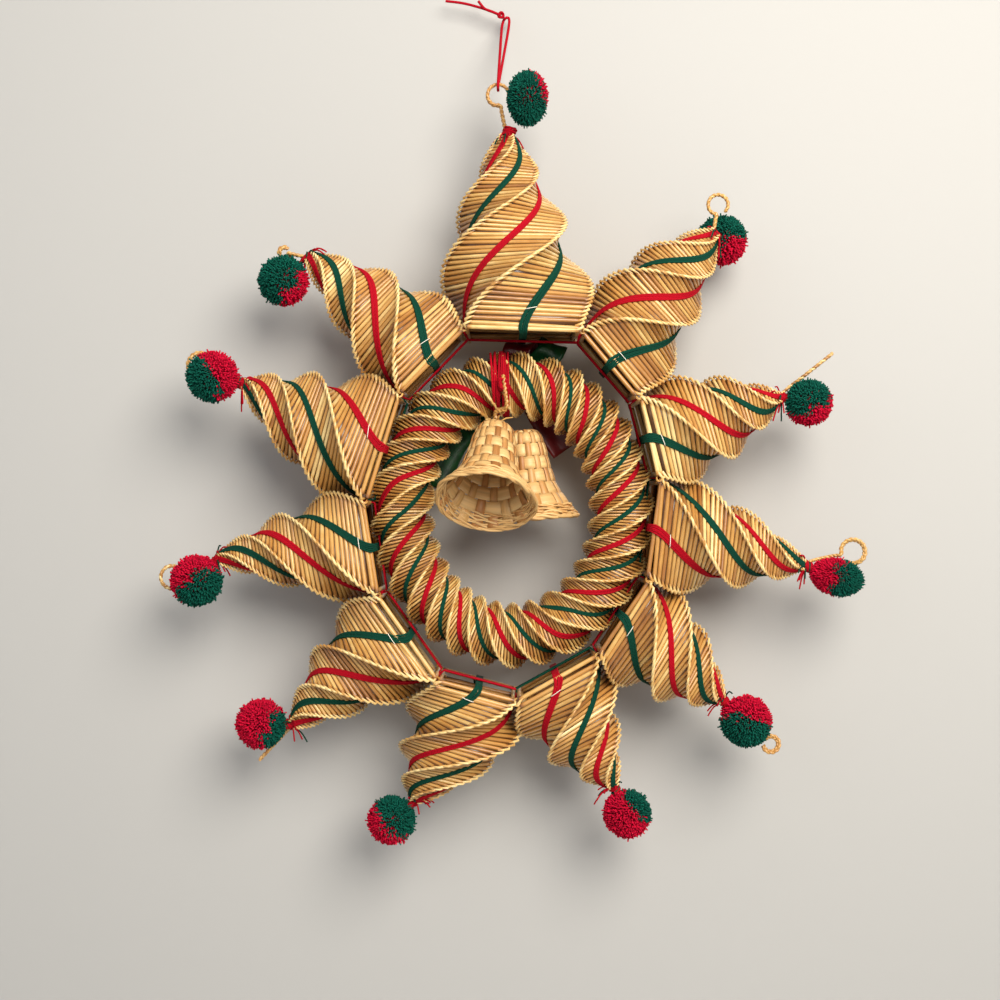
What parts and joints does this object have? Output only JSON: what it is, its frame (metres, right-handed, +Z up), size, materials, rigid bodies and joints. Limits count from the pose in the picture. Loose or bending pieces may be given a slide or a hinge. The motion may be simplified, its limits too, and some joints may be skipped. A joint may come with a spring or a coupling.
{
  "type": "straw ornament",
  "caption": "Wall ornament of woven straw: hollow twisted cones tipped with yarn pompoms stand round a twisted straw ring that carries woven bells, hung by a yarn loop",
  "frame": {"origin": "the hang point, where the yarn loop goes over a nail in the wall", "axes": "+X right as seen from the front, -Y the front that faces the room, +Z up; the wall is the plane y = 0"},
  "size_m": [0.4963, 0.1312, 0.6044],
  "materials": {
    "straw": "glossy dried straw",
    "pompom_yarn": "cut yarn, dark red and dark green",
    "woven_splint": "satin woven palm or bamboo splint",
    "red_yarn": "matte twisted yarn",
    "red_ribbon": "satin",
    "green_ribbon": "satin"
  },
  "bodies": {
    "root": {"ring": "straw", "arm_01": "straw", "arm_02": "straw", "arm_03": "straw", "arm_04": "straw", "arm_05": "straw", "arm_06": "straw", "arm_07": "straw", "arm_08": "straw", "arm_09": "straw", "arm_10": "straw", "arm_11": "straw", "pompom_01": "pompom_yarn", "pompom_02": "pompom_yarn", "pompom_03": "pompom_yarn", "pompom_04": "pompom_yarn", "pompom_05": "pompom_yarn", "pompom_06": "pompom_yarn", "pompom_07": "pompom_yarn", "pompom_08": "pompom_yarn", "pompom_09": "pompom_yarn", "pompom_10": "pompom_yarn", "pompom_11": "pompom_yarn", "bell_front": "woven_splint", "bell_rear": "woven_splint", "bell_tie": "red_yarn", "ribbon_red": "red_ribbon", "ribbon_green": "green_ribbon", "hanger_yarn": "red_yarn"}
  },
  "joints": []
}
